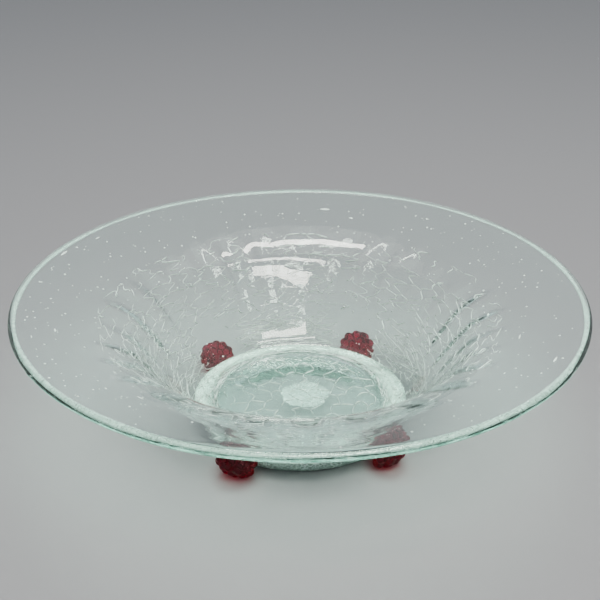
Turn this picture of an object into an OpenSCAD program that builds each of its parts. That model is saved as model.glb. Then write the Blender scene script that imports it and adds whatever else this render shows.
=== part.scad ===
// Footed art glass bowl: a wide flared vessel of crackled glass on four raspberry prunts.
// Units are millimetres. +Z is up, and the origin is on the table under the middle of the bowl.

/* [Bowl] */
// Diameter over the rim
rim_d = 350; // [330:1:370]
// Height of the rim's top above the table
bowl_h = 89; // [86:1:94]
// Thickness of the fire-polished rim
rim_t = 5.4; // [4.6:0.1:6]
// Thickness of the wall and the flare
wall_t = 5; // [4:0.1:5.6]
// Thickness of the floor
floor_t = 7; // [6:0.1:8]
// Slope of the flare where it ends at the rim, in degrees
rim_slope = 10; // [8:1:12]
// Radius at which the wall turns out into the flare
shoulder_r = 108.5; // [104:0.5:112]
// Height of the inside of the shoulder above the table
shoulder_h = 68; // [65:0.5:70]
// Height of the inside of the floor above the table
floor_h = 20; // [19:0.5:22]
// Radius of the raised middle of the floor
floor_r = 51; // [48:0.5:53]
// Depth of the ring-shaped trough round the floor
trough_depth = 5; // [4:0.1:6]

/* [Base] */
// Clearance between the base pad and the table
pad_clear = 1.4; // [1:0.1:2.5]
// Radius of the lowest ring of the base pad
pad_r = 63; // [60:0.5:64]
// How far the underside is pushed up in the middle
kick = 6.5; // [5:0.1:7.5]
// Radius of the rough mark that the punty leaves
pontil_r = 16.5; // [14:0.5:19]
// Thickness of the glass that the punty leaves
pontil_t = 3; // [2:0.1:3.5]
// Sideways offset of the punty's mark
pontil_offset = 3; // [0:0.5:5]

/* [Feet] */
// Diameter over the knobs of a foot
foot_d = 25; // [23:0.5:27]
// Length of a foot along its own axis, out of the wall
foot_l = 13; // [12:0.5:14]
// Distance from the bowl's axis to the root of a foot
foot_root_r = 75; // [74:0.5:76]
// Angle of a foot's axis below the horizontal, in degrees
foot_dip = 38; // [36:1:40]
// Diameter of one knob of a foot
knob_d = 6.4; // [5.6:0.1:7]
// Depth that the soft feet are pressed flat when the bowl is levelled
foot_flat = 1; // [0.8:0.1:1.2]
// How far each hand-set foot strays round the bowl from its corner, in degrees
foot_stray = [7, -4, 9, -9]; // [-9:1:9]

/* [Hidden] */
$fn = 96;
curve_steps = 6;
aqua = [0.80, 0.93, 0.89, 0.45];
clear = [0.86, 0.95, 0.93, 0.5];
cranberry = [0.55, 0.06, 0.16, 0.85];

// Stations of the inner face from the axis to the rim: radius, height, slope, glass thickness
trough_r = floor_r + 11;
trough_h = floor_h - trough_depth;
heel_r = trough_r + 8.5;
heel_h = trough_h + 5.2;
rim_ball = rim_t / 2;
rim_centre = [rim_d / 2 - rim_ball, bowl_h - rim_ball];
flare_r = (shoulder_r + rim_d / 2) / 2;
inner_stations = [
    [0, floor_h, 0, floor_t],
    [floor_r, floor_h - 0.8, -14, floor_t],
    [trough_r, trough_h, 0, floor_t],
    [heel_r, heel_h, 50, wall_t + 0.6],
    [shoulder_r - 8, shoulder_h - 8, 51, wall_t],
    [shoulder_r, shoulder_h, 33, wall_t],
    [flare_r, (shoulder_h + bowl_h) / 2 + 3.6, 15, wall_t],
    [rim_centre[0] - rim_ball * sin(rim_slope), rim_centre[1] + rim_ball * cos(rim_slope),
        rim_slope, rim_t],
];
trough_station = 2;
pad_end = trough_station * curve_steps + curve_steps / 2;
pad_edge_slope = -105;
table_h = 0;
knob_r = knob_d / 2;
knob_ring_r = foot_d / 2 - knob_r;
knob_ring_h = foot_l * 0.48;
// The lowest knob's underside is pressed to the table
foot_root_h = knob_ring_h * sin(foot_dip) + knob_ring_r * cos(foot_dip) + knob_r - foot_flat;

function heading(slope) = [cos(slope), sin(slope)];

// Point at t of the smooth curve between two stations, each with a place and a slope
function curve_point(a, b, t) =
    let (from = [a[0], a[1]], to = [b[0], b[1]], reach = norm(to - from))
    (2 * t^3 - 3 * t^2 + 1) * from + (t^3 - 2 * t^2 + t) * reach * heading(a[2])
    + (3 * t^2 - 2 * t^3) * to + (t^3 - t^2) * reach * heading(b[2]);

// Direction of the same curve at t
function curve_course(a, b, t) =
    let (from = [a[0], a[1]], to = [b[0], b[1]], reach = norm(to - from))
    (6 * t^2 - 6 * t) * (from - to) + (3 * t^2 - 4 * t + 1) * reach * heading(a[2])
    + (3 * t^2 - 2 * t) * reach * heading(b[2]);

// The same point moved through the glass to its outer face
function outer_point(a, b, t) =
    let (course = curve_course(a, b, t), way = course / norm(course), depth = a[3] + (b[3] - a[3]) * t)
    curve_point(a, b, t) + depth * [way[1], -way[0]];

function inner_face() = [
    for (i = [0 : len(inner_stations) - 2], k = [0 : curve_steps - 1])
        curve_point(inner_stations[i], inner_stations[i + 1], k / curve_steps)
];

function outer_face() = [
    for (i = [0 : len(inner_stations) - 2], k = [0 : curve_steps - 1])
        outer_point(inner_stations[i], inner_stations[i + 1], k / curve_steps)
];

function rim_edge() = [for (angle = [90 : -15 : -75]) rim_centre + rim_ball * heading(angle)];

function reversed(points) = [for (i = [len(points) - 1 : -1 : 0]) points[i]];

// Everything inside the bowl's outer face, which trims what is stuck on it
module bowl_form() {
    rotate_extrude() polygon(concat([[0, bowl_h]], outer_face(), reversed(rim_edge())));
}

// Underside of the pad: its rounded edge, the lowest ring, and the push up to the flat middle
module pad_profile() {
    skin = outer_face();
    top = [for (i = [0 : pad_end]) skin[i]];
    heel = top[pad_end];
    edge = [for (k = [1 : curve_steps])
        curve_point([heel[0], heel[1], pad_edge_slope], [pad_r, pad_clear, 180], k / curve_steps)];
    push = [for (k = [1 : curve_steps])
        curve_point([pad_r, pad_clear, 180], [pontil_r + 6, pad_clear + kick, 180], k / curve_steps)];
    polygon(concat(top, edge, push, [[0, pad_clear + kick]]));
}

module bowl_body() {
    color(aqua)
    rotate_extrude()
        polygon(concat(inner_face(), rim_edge(), reversed(outer_face())));
}

module base_pad() {
    color(clear)
    rotate_extrude() pad_profile();
}

// The punty breaks away and leaves a rough wafer with shell-shaped chips
module pontil_scar() {
    chip_r = 9;
    chip_depth = 0.9;
    color(clear)
    translate([pontil_offset, 0, pad_clear + kick - pontil_t])
    difference() {
        cylinder(h = pontil_t, r1 = pontil_r - 2.5, r2 = pontil_r);
        for (turn = [0 : 72 : 359])
            rotate([0, 0, turn])
            translate([pontil_r * 0.62, 0, chip_depth - chip_r])
                sphere(r = chip_r);
    }
}

// One raspberry prunt, standing on its root with its axis along Z: a dome set with rings of knobs
module prunt() {
    dome_r = knob_ring_r + knob_r * 0.35;
    // Each ring: its radius, its height, the number of knobs in it
    rings = [
        [0, foot_l - knob_r, 1],
        [knob_ring_r * 0.6, foot_l - knob_r * 1.28, 6],
        [knob_ring_r, knob_ring_h, 11],
        [knob_ring_r * 0.98, knob_ring_h - knob_r * 1.6, 11],
    ];
    translate([0, 0, foot_l - knob_r * 0.35 - dome_r])
        sphere(r = dome_r);
    for (ring = rings, i = [0 : ring[2] - 1])
        rotate([0, 0, i * 360 / ring[2]])
        translate([ring[0], 0, ring[1]])
            sphere(d = knob_d);
}

// A foot at its angle round the bowl, trimmed by the glass it is stuck to and by the table
module foot(turn) {
    span = foot_d * 2;
    color(cranberry)
    difference() {
        rotate([0, 0, turn])
        translate([foot_root_r, 0, foot_root_h])
        rotate([0, 90 + foot_dip, 0])
            prunt();
        bowl_form();
        rotate_extrude() pad_profile();
        rotate([0, 0, turn])
        translate([foot_root_r - span / 2, -span / 2, table_h - span])
            cube(span);
    }
}

module foot_front_left() {
    foot(225 + foot_stray[2]);
}

module foot_front_right() {
    foot(315 + foot_stray[3]);
}

module foot_rear_left() {
    foot(135 + foot_stray[1]);
}

module foot_rear_right() {
    foot(45 + foot_stray[0]);
}

bowl_body();
base_pad();
pontil_scar();
foot_front_left();
foot_front_right();
foot_rear_left();
foot_rear_right();
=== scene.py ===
"""Footed art glass bowl: a flared crackle glass vessel on a base pad and four raspberry prunts.

Everything is in metres, +Z up, in the frame of the CAD model. Each piece of glass is a closed
surface worked out from a profile or from a formula, with the cracks and the seeds inside the
glass as pieces of their own.
"""
import logging
import math
from dataclasses import dataclass, field
from enum import Enum

import bpy
import numpy as np
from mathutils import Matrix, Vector


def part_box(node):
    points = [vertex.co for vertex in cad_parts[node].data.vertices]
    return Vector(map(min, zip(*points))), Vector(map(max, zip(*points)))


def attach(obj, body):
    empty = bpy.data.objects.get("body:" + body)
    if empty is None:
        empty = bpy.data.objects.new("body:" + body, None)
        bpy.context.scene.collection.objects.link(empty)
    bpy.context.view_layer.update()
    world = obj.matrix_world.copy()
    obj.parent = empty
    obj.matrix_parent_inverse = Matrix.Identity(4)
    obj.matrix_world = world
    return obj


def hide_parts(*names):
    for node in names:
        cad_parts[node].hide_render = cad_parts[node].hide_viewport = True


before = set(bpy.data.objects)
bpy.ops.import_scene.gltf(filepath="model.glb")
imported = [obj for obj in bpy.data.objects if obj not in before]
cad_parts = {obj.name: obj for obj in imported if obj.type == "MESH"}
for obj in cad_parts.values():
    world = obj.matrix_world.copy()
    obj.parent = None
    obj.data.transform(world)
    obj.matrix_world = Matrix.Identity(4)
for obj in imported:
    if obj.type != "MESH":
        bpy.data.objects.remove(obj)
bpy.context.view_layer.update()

MM = 0.001
FUSED_GAP = 0.03 * MM
Array = np.ndarray
log = logging.getLogger("glass_bowl")


class Slot(Enum):
    """The record's material slots, one kept on each piece."""

    CRACKLE = "aqua_crackle_glass"
    PAD = "clear_pad_glass"
    CRANBERRY = "cranberry_glass"


class Face(Enum):
    """The two faces of the vessel's wall."""

    INNER = 0.0
    OUTER = 1.0


# ---------------------------------------------------------------------------------------------
# Numbers and surfaces
# ---------------------------------------------------------------------------------------------


def smooth_step(value: Array, low: float, high: float) -> Array:
    """A ramp from 0 at low to 1 at high, level at both ends: 3t^2 - 2t^3.

    Args:
        value: Where the ramp is read.
        low: Where it starts to rise.
        high: Where it reaches 1.

    Returns:
        The ramp's height at each value.
    """
    t = np.clip((value - low) / (high - low), 0.0, 1.0)
    return t * t * (3.0 - 2.0 * t)


@dataclass(frozen=True)
class Swell:
    """Slow random unevenness: a sum of sine waves with random directions and phases."""

    wavelength: float
    seed: int
    count: int = 14

    def at(self, points: Array) -> Array:
        """The unevenness at points, the mean of sin(k.p + phase), scaled to about -1 to 1.

        Args:
            points: Places with x, y and z last, of any shape.

        Returns:
            One number per place.
        """
        rng = np.random.default_rng(self.seed)
        ways = rng.normal(size=(self.count, 3))
        ways /= np.linalg.norm(ways, axis=1)[:, None]
        lengths = self.wavelength * rng.uniform(0.7, 1.6, self.count)
        turns = 2.0 * math.pi / lengths[:, None] * ways
        phases = rng.uniform(0.0, 2.0 * math.pi, self.count)
        total = sum(np.sin(points @ turn + phase) for turn, phase in zip(turns, phases))
        return total / math.sqrt(self.count / 2.0) / 1.6


@dataclass(frozen=True)
class Station:
    """One place on the inner face's profile: its radius, height, slope and the glass's thickness."""

    radius: float
    height: float
    slope: float
    thickness: float


def hermite(
    start: Array, end: Array, way_in: Array, way_out: Array, t: Array
) -> tuple[Array, Array]:
    """Cubic curve from start to end, with each end's direction scaled by the chord.

    Args:
        start: First point, (..., 2).
        end: Last point, (..., 2).
        way_in: Unit direction at the start.
        way_out: Unit direction at the end.
        t: How far along, 0 to 1, (..., 1).

    Returns:
        The points, and the curve's derivative at them.
    """
    reach = np.linalg.norm(end - start, axis=-1, keepdims=True)
    place = (
        (2 * t**3 - 3 * t**2 + 1) * start
        + (t**3 - 2 * t**2 + t) * reach * way_in
        + (3 * t**2 - 2 * t**3) * end
        + (t**3 - t**2) * reach * way_out
    )
    course = (
        (6 * t**2 - 6 * t) * (start - end)
        + (3 * t**2 - 4 * t + 1) * reach * way_in
        + (3 * t**2 - 2 * t) * reach * way_out
    )
    return place, course


def heading(slope: Array) -> Array:
    """Unit direction of a slope in degrees, as (along the radius, up)."""
    angle = np.radians(slope)
    return np.stack([np.cos(angle), np.sin(angle)], axis=-1)


@dataclass
class Section:
    """The vessel's wall as a profile: an inner curve through stations, and a thickness across it.

    Places along it are given by arc, the distance from the axis along the inner face.
    """

    rim_radius: float
    top: float
    rim_thickness: float = 5.4 * MM
    wall_thickness: float = 5.0 * MM
    floor_thickness: float = 7.0 * MM
    floor_height: float = 20.0 * MM
    floor_radius: float = 51.0 * MM
    trough_depth: float = 5.0 * MM
    shoulder_radius: float = 108.5 * MM
    shoulder_height: float = 68.0 * MM
    rim_slope: float = 10.0
    stations: list[Station] = field(init=False)

    def __post_init__(self) -> None:
        """Works out the stations, the rim's round edge, and the table from arc to curve."""
        ball = self.rim_thickness / 2
        self.rim_ball = ball
        self.rim_centre = np.array([self.rim_radius - ball, self.top - ball])
        edge = self.rim_centre + ball * heading(self.rim_slope + 90.0)
        trough_r = self.floor_radius + 11 * MM
        trough_h = self.floor_height - self.trough_depth
        flare_r = (self.shoulder_radius + self.rim_radius) / 2
        flare_h = (self.shoulder_height + self.top) / 2 + 3.6 * MM
        wall, floor = self.wall_thickness, self.floor_thickness
        self.stations = [
            Station(0.0, self.floor_height, 0.0, floor),
            Station(self.floor_radius, self.floor_height - 0.8 * MM, -14.0, floor),
            Station(trough_r, trough_h, 0.0, floor),
            Station(trough_r + 8.5 * MM, trough_h + 5.2 * MM, 50.0, wall + 0.6 * MM),
            Station(self.shoulder_radius - 8 * MM, self.shoulder_height - 8 * MM, 51.0, wall),
            Station(self.shoulder_radius, self.shoulder_height, 33.0, wall),
            Station(flare_r, flare_h, 15.0, wall),
            Station(edge[0], edge[1], self.rim_slope, self.rim_thickness),
        ]
        self._table = np.array([[s.radius, s.height, s.slope, s.thickness] for s in self.stations])
        steps = np.linspace(0.0, len(self.stations) - 1.0, 1400)
        line = self.along(steps)[0]
        lengths = np.linalg.norm(np.diff(line, axis=0), axis=1)
        self._steps = steps
        self._arcs = np.concatenate([[0.0], np.cumsum(lengths)])
        self.length = float(self._arcs[-1])

    def along(self, step: Array) -> tuple[Array, Array, Array]:
        """The inner face at fractional station numbers.

        Args:
            step: Station numbers, whole at the stations.

        Returns:
            Its points, its unit course, and the thickness there.
        """
        first = np.clip(np.floor(step).astype(int), 0, len(self.stations) - 2)
        t = (step - first)[..., None]
        a, b = self._table[first], self._table[first + 1]
        place, course = hermite(a[..., :2], b[..., :2], heading(a[..., 2]), heading(b[..., 2]), t)
        course = course / np.linalg.norm(course, axis=-1, keepdims=True)
        return place, course, a[..., 3] + (b[..., 3] - a[..., 3]) * t[..., 0]

    def across(self, arc: Array, depth: Array | float) -> tuple[Array, Array]:
        """A point in the wall: the inner point moved through the glass by depth of its thickness.

        Args:
            arc: Distance from the axis along the inner face.
            depth: 0 on the inner face and 1 on the outer.

        Returns:
            (radius, height) and the unit direction through the glass, from inner to outer.
        """
        place, course, thickness = self.along(np.interp(arc, self._arcs, self._steps))
        way = np.stack([course[..., 1], -course[..., 0]], axis=-1)
        return place + (thickness * depth)[..., None] * way, way

    def arc_at_radius(self, radius: float) -> float:
        """The arc at which the inner face first reaches this radius."""
        place = self.along(self._steps)[0]
        return float(self._arcs[np.argmax(place[:, 0] >= radius)])


def turned(profile: Array, angle: Array) -> Array:
    """Points of a profile turned about the axis: (r cos a, r sin a, z).

    Args:
        profile: (radius, height) pairs, (..., 2).
        angle: Angles in radians that broadcast with them.

    Returns:
        Places, (..., 3).
    """
    radius, height = profile[..., 0], profile[..., 1]
    parts = np.broadcast_arrays(radius * np.cos(angle), radius * np.sin(angle), height)
    return np.stack(parts, axis=-1)


def angles(count: int) -> Array:
    """count equal angles round the axis, in radians."""
    return np.arange(count) * (2.0 * math.pi / count)


@dataclass
class Skin:
    """Vertices and faces of one closed surface, gathered as whole arrays."""

    points: Array
    quads: Array
    triangles: Array
    values: dict[str, Array] = field(default_factory=dict)

    @staticmethod
    def between_poles(rows: Array, first: Array, last: Array) -> "Skin":
        """A closed surface from rings of points, with one pole before them and one after.

        Quads join each ring to the next with the index (row, column + 1), wrapping round, and
        fans of triangles close the poles. Rings run anticlockwise seen from the last pole's side.

        Args:
            rows: The rings, (rings, columns, 3).
            first: The pole before the first ring.
            last: The pole after the last ring.

        Returns:
            The surface, with its points in ring order and the two poles last.
        """
        rings, columns = rows.shape[:2]
        index = np.arange(rings * columns).reshape(rings, columns)
        ahead = np.roll(index, -1, axis=1)
        quads = np.stack([index[:-1], ahead[:-1], ahead[1:], index[1:]], axis=-1).reshape(-1, 4)
        south, north = rings * columns, rings * columns + 1
        under = np.stack([np.full(columns, south), ahead[0], index[0]], axis=-1)
        over = np.stack([np.full(columns, north), index[-1], ahead[-1]], axis=-1)
        points = np.vstack([rows.reshape(-1, 3), first[None], last[None]])
        return Skin(points, quads, np.vstack([under, over]))

    @staticmethod
    def closed_loop(rows: Array) -> "Skin":
        """A ring-shaped surface: rows of points that close both ways, like a tyre.

        Args:
            rows: The rings, (rings, columns, 3); the last is joined to the first.

        Returns:
            The surface, with its points in ring order.
        """
        rings, columns = rows.shape[:2]
        index = np.arange(rings * columns).reshape(rings, columns)
        ahead = np.roll(index, -1, axis=1)
        quads = np.stack(
            [index, ahead, np.roll(ahead, -1, axis=0), np.roll(index, -1, axis=0)], axis=-1
        ).reshape(-1, 4)
        return Skin(rows.reshape(-1, 3), quads, np.zeros((0, 3), dtype=int))

    def flipped(self) -> "Skin":
        """The same surface with its faces turned round."""
        return Skin(self.points, self.quads[:, ::-1], self.triangles[:, ::-1], self.values)


class GlassPiece:
    """Puts a finished skin into Blender as one piece of the object."""

    def __init__(self, name: str, slot: Slot) -> None:
        """Keeps the piece's name and material slot.

        Args:
            name: Name of the piece.
            slot: The record's slot that it stands for; it is kept and not used further.
        """
        self.name = name
        self.slot = slot

    def place(self, skin: Skin, material: bpy.types.Material, *nodes: str) -> bpy.types.Object:
        """Makes the mesh object, dresses it, puts it under the root body and hides the CAD nodes that
        it replaces.

        Args:
            skin: The surface.
            material: What it is made of.
            nodes: CAD nodes that it replaces.

        Returns:
            The object, at the origin and unturned.
        """
        corners = np.concatenate([skin.quads.ravel(), skin.triangles.ravel()]).astype(np.int32)
        sizes = np.concatenate([np.full(len(skin.quads), 4), np.full(len(skin.triangles), 3)])
        starts = np.concatenate([[0], np.cumsum(sizes)[:-1]]).astype(np.int32)
        mesh = bpy.data.meshes.new(self.name)
        mesh.vertices.add(len(skin.points))
        mesh.vertices.foreach_set("co", skin.points.astype(np.float32).ravel())
        mesh.loops.add(len(corners))
        mesh.loops.foreach_set("vertex_index", corners)
        mesh.polygons.add(len(sizes))
        mesh.polygons.foreach_set("loop_start", starts)
        mesh.update(calc_edges=True)
        mesh.polygons.foreach_set("use_smooth", np.ones(len(sizes), dtype=bool))
        for label, numbers in skin.values.items():
            layer = mesh.attributes.new(label, "FLOAT", "POINT")
            layer.data.foreach_set("value", numbers.astype(np.float32).ravel())
        mesh.materials.append(material)
        mesh.validate()
        piece = bpy.data.objects.new(self.name, mesh)
        bpy.context.scene.collection.objects.link(piece)
        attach(piece, "root")
        if nodes:
            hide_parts(*nodes)
        log.info("%s: %d vertices, %d faces", self.name, len(skin.points), len(sizes))
        return piece


# ---------------------------------------------------------------------------------------------
# Finishes
# ---------------------------------------------------------------------------------------------


class Tree:
    """A node tree with short calls to add nodes and wires."""

    def __init__(self, tree: bpy.types.NodeTree) -> None:
        """Starts on an empty tree.

        Args:
            tree: The tree to fill.
        """
        self.tree = tree
        tree.nodes.clear()

    def add(self, kind: str, settings: dict | None = None, **inputs: object) -> bpy.types.Node:
        """Adds a node, sets its options, and sets or wires its inputs.

        Args:
            kind: Blender's name of the node type.
            settings: The node's own options.
            inputs: Values or output sockets, by input name with _ for a space.

        Returns:
            The node.
        """
        node = self.tree.nodes.new(kind)
        for option, value in (settings or {}).items():
            setattr(node, option, value)
        for label, value in inputs.items():
            self.feed(node.inputs[label.replace("_", " ")], value)
        node.location = (220 * (len(self.tree.nodes) % 8), -260 * (len(self.tree.nodes) // 8))
        return node

    def feed(self, socket: bpy.types.NodeSocket, value: object) -> None:
        """Wires an output into a socket, or sets the socket's value.

        Args:
            socket: The input.
            value: An output socket, or a plain value.
        """
        if isinstance(value, bpy.types.NodeSocket):
            self.tree.links.new(value, socket)
        else:
            socket.default_value = value

    def maths(self, operation: str, first: object, second: object = 0.0) -> bpy.types.NodeSocket:
        """One Math node.

        Args:
            operation: Blender's name of the operation.
            first: Its first value or socket.
            second: Its second value or socket.

        Returns:
            The result's socket.
        """
        node = self.add("ShaderNodeMath", {"operation": operation})
        self.feed(node.inputs[0], first)
        self.feed(node.inputs[1], second)
        return node.outputs[0]

    def ramp(self, value: object, low: float, high: float, out_low: float = 0.0,
             out_high: float = 1.0) -> bpy.types.NodeSocket:
        """A smooth ramp between two values.

        Args:
            value: Socket that is read.
            low: Value that gives out_low.
            high: Value that gives out_high.
            out_low: Result at low and below.
            out_high: Result at high and above.

        Returns:
            The result's socket.
        """
        node = self.add(
            "ShaderNodeMapRange", {"interpolation_type": "SMOOTHSTEP"},
            From_Min=low, From_Max=high, To_Min=out_low, To_Max=out_high,
        )
        self.feed(node.inputs["Value"], value)
        return node.outputs["Result"]


class SharedEffects:
    """The shader node groups that more than one glass uses."""

    def __init__(self) -> None:
        """Builds the groups once."""
        self.crackle = self._crackle()
        self.ripple = self._ripple()

    @staticmethod
    def _group(name: str, inputs: dict[str, float], outputs: list[str]) -> tuple[Tree, dict, dict]:
        """An empty group with a Vector input, numbers in and numbers out.

        Args:
            name: Name of the group.
            inputs: Number inputs with their defaults.
            outputs: Number outputs.

        Returns:
            The tree, the input sockets by name, and the output sockets by name.
        """
        group = bpy.data.node_groups.new(name, "ShaderNodeTree")
        group.interface.new_socket("Vector", in_out="INPUT", socket_type="NodeSocketVector")
        for label, value in inputs.items():
            made = group.interface.new_socket(label, in_out="INPUT", socket_type="NodeSocketFloat")
            made.default_value = value
        for label in outputs:
            group.interface.new_socket(label, in_out="OUTPUT", socket_type="NodeSocketFloat")
        tree = Tree(group)
        entry = tree.add("NodeGroupInput")
        leave = tree.add("NodeGroupOutput")
        return tree, {s.name: s for s in entry.outputs}, {s.name: s for s in leave.inputs}

    def _crackle(self) -> bpy.types.NodeTree:
        """Crack lines on the edges of warped Voronoi cells, some of them faint.

        Returns:
            The group, which puts out Line on the edges and Plate, which rises towards the middles.
        """
        tree, given, made = self._group(
            "crackle_lines", {"Cells": 110.0, "Width": 0.05, "Warp": 0.004}, ["Line", "Plate"]
        )
        noise = tree.add("ShaderNodeTexNoise", Vector=given["Vector"], Scale=55.0, Detail=3.0)
        shift = tree.add("ShaderNodeVectorMath", {"operation": "SUBTRACT"})
        tree.feed(shift.inputs[0], noise.outputs["Color"])
        shift.inputs[1].default_value = (0.5, 0.5, 0.5)
        warp = tree.add("ShaderNodeVectorMath", {"operation": "SCALE"})
        tree.feed(warp.inputs[0], shift.outputs[0])
        tree.feed(warp.inputs["Scale"], given["Warp"])
        bent = tree.add("ShaderNodeVectorMath", {"operation": "ADD"})
        tree.feed(bent.inputs[0], given["Vector"])
        tree.feed(bent.inputs[1], warp.outputs[0])
        cells = tree.add(
            "ShaderNodeTexVoronoi", {"feature": "DISTANCE_TO_EDGE"},
            Vector=bent.outputs[0], Scale=given["Cells"],
        )
        ratio = tree.maths("DIVIDE", cells.outputs["Distance"], given["Width"])
        line = tree.ramp(ratio, 0.0, 1.0, 1.0, 0.0)
        faint = tree.add("ShaderNodeTexNoise", Vector=given["Vector"], Scale=70.0, Detail=1.0)
        strength = tree.ramp(faint.outputs["Fac"], 0.36, 0.6, 0.1, 1.0)
        tree.feed(made["Line"], tree.maths("MULTIPLY", line, strength))
        tree.feed(made["Plate"], tree.ramp(cells.outputs["Distance"], 0.0, 0.45))
        return tree.tree

    def _ripple(self) -> bpy.types.NodeTree:
        """The soft unevenness of hot-worked glass, with a finer tool mark over it.

        Returns:
            The group, which puts out Height.
        """
        tree, given, made = self._group(
            "hot_glass_ripple", {"Broad": 28.0, "Fine": 160.0, "Share": 0.25}, ["Height"]
        )
        broad = tree.add(
            "ShaderNodeTexNoise", Vector=given["Vector"], Scale=given["Broad"], Detail=2.0,
            Roughness=0.4, Distortion=0.6,
        )
        fine = tree.add(
            "ShaderNodeTexNoise", Vector=given["Vector"], Scale=given["Fine"], Detail=2.0,
        )
        part = tree.maths("MULTIPLY", fine.outputs["Fac"], given["Share"])
        tree.feed(made["Height"], tree.maths("ADD", broad.outputs["Fac"], part))
        return tree.tree


@dataclass(frozen=True)
class Relief:
    """How deep a glass's surface marks are, in metres, and how rough they leave it."""

    ripple: float
    broad: float
    fine: float
    share: float
    crack: float
    cells: float
    line_width: float
    polish: float
    crack_roughness: float


@dataclass(frozen=True)
class GlassFinish:
    """A clear or coloured glass: what it absorbs, how it shines, and its surface marks."""

    name: str
    tint: tuple[float, float, float]
    depth_colour: tuple[float, float, float]
    density: float
    shadow: tuple[float, float, float]
    relief: Relief
    clarity: float = 1.0
    mask: str = ""

    def build(self, effects: SharedEffects) -> bpy.types.Material:
        """Makes the material: tinted glass with absorption inside and relief from the groups.

        Args:
            effects: The shared node groups.

        Returns:
            The material.
        """
        material = bpy.data.materials.new(self.name)
        material.use_nodes = True
        tree = Tree(material.node_tree)
        place = tree.add("ShaderNodeTexCoord").outputs["Object"]
        relief = self.relief
        ripple = tree.add("ShaderNodeGroup", {"node_tree": effects.ripple}, Vector=place,
                          Broad=relief.broad, Fine=relief.fine, Share=relief.share)
        cracks = tree.add("ShaderNodeGroup", {"node_tree": effects.crackle}, Vector=place,
                          Cells=relief.cells, Width=relief.line_width)
        line = cracks.outputs["Line"]
        plate = cracks.outputs["Plate"]
        if self.mask:
            where = tree.add("ShaderNodeAttribute", {"attribute_name": self.mask}).outputs["Fac"]
            line = tree.maths("MULTIPLY", line, where)
            plate = tree.maths("MULTIPLY", plate, where)
        soft = tree.add("ShaderNodeBump", Distance=relief.ripple, Strength=1.0,
                        Height=ripple.outputs["Height"])
        relieved = tree.maths("SUBTRACT", tree.maths("MULTIPLY", plate, 0.5), line)
        bump = tree.add("ShaderNodeBump", Distance=relief.crack, Strength=1.0,
                        Height=relieved, Normal=soft.outputs["Normal"])
        rough = tree.ramp(line, 0.0, 1.0, relief.polish, relief.crack_roughness)
        glass = tree.add(
            "ShaderNodeBsdfPrincipled", Base_Color=(*self.tint, 1.0), Roughness=rough, IOR=1.5,
            Transmission_Weight=self.clarity, Normal=bump.outputs["Normal"],
        )
        lamps = tree.add("ShaderNodeBsdfTransparent", Color=(*self.shadow, 1.0))
        path = tree.add("ShaderNodeLightPath")
        mixed = tree.add("ShaderNodeMixShader")
        tree.feed(mixed.inputs[0], path.outputs["Is Shadow Ray"])
        tree.feed(mixed.inputs[1], glass.outputs[0])
        tree.feed(mixed.inputs[2], lamps.outputs[0])
        inside = tree.add("ShaderNodeVolumeAbsorption", Color=(*self.depth_colour, 1.0),
                          Density=self.density)
        tree.add("ShaderNodeOutputMaterial", Surface=mixed.outputs[0], Volume=inside.outputs[0])
        return material


@dataclass(frozen=True)
class SparkleFinish:
    """The silvery look of air inside glass, for cracks and seeds, in places fainter."""

    name: str
    colour: tuple[float, float, float]
    roughness: float
    faintest: float
    strongest: float
    patch: float

    def build(self) -> bpy.types.Material:
        """Makes the material: a bright surface whose cover changes from patch to patch.

        Returns:
            The material.
        """
        material = bpy.data.materials.new(self.name)
        material.use_nodes = True
        tree = Tree(material.node_tree)
        place = tree.add("ShaderNodeTexCoord").outputs["Object"]
        patches = tree.add("ShaderNodeTexNoise", Vector=place, Scale=self.patch, Detail=2.0)
        cover = tree.ramp(patches.outputs["Fac"], 0.38, 0.62, self.faintest, self.strongest)
        grain = tree.add("ShaderNodeTexNoise", Vector=place, Scale=self.patch * 9, Detail=1.0)
        rough = tree.ramp(grain.outputs["Fac"], 0.3, 0.7, self.roughness * 0.6, self.roughness)
        shine = tree.add(
            "ShaderNodeBsdfPrincipled", Base_Color=(*self.colour, 1.0), Roughness=rough,
            IOR=1.5, Alpha=cover,
        )
        tree.add("ShaderNodeOutputMaterial", Surface=shine.outputs[0])
        return material


@dataclass(frozen=True)
class VeilFinish:
    """Air caught between two gathers of glass, and the rim's painted glow: white crackle lines over
    mint plates.
    """

    name: str
    colour: tuple[float, float, float]
    cells: float
    line_width: float
    plate_cover: float
    line_cover: float

    def build(self, effects: SharedEffects) -> bpy.types.Material:
        """Makes the material: cover is higher on the crack lines and follows the veil's fade.

        Args:
            effects: The shared node groups.

        Returns:
            The material.
        """
        material = bpy.data.materials.new(self.name)
        material.use_nodes = True
        tree = Tree(material.node_tree)
        place = tree.add("ShaderNodeTexCoord").outputs["Object"]
        cracks = tree.add("ShaderNodeGroup", {"node_tree": effects.crackle}, Vector=place,
                          Cells=self.cells, Width=self.line_width)
        cover = tree.ramp(cracks.outputs["Line"], 0.0, 0.8, self.plate_cover, self.line_cover)
        fade = tree.add("ShaderNodeAttribute", {"attribute_name": "fade"}).outputs["Fac"]
        grain = tree.add("ShaderNodeTexNoise", Vector=place, Scale=900.0, Detail=1.0)
        speckled = tree.ramp(grain.outputs["Fac"], 0.3, 0.6, 0.6, 1.0)
        alpha = tree.maths("MULTIPLY", tree.maths("MULTIPLY", cover, fade), speckled)
        shine = tree.add(
            "ShaderNodeBsdfPrincipled", Base_Color=(*self.colour, 1.0), Roughness=0.5,
            IOR=1.5, Alpha=alpha,
        )
        tree.add("ShaderNodeOutputMaterial", Surface=shine.outputs[0])
        return material


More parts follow.
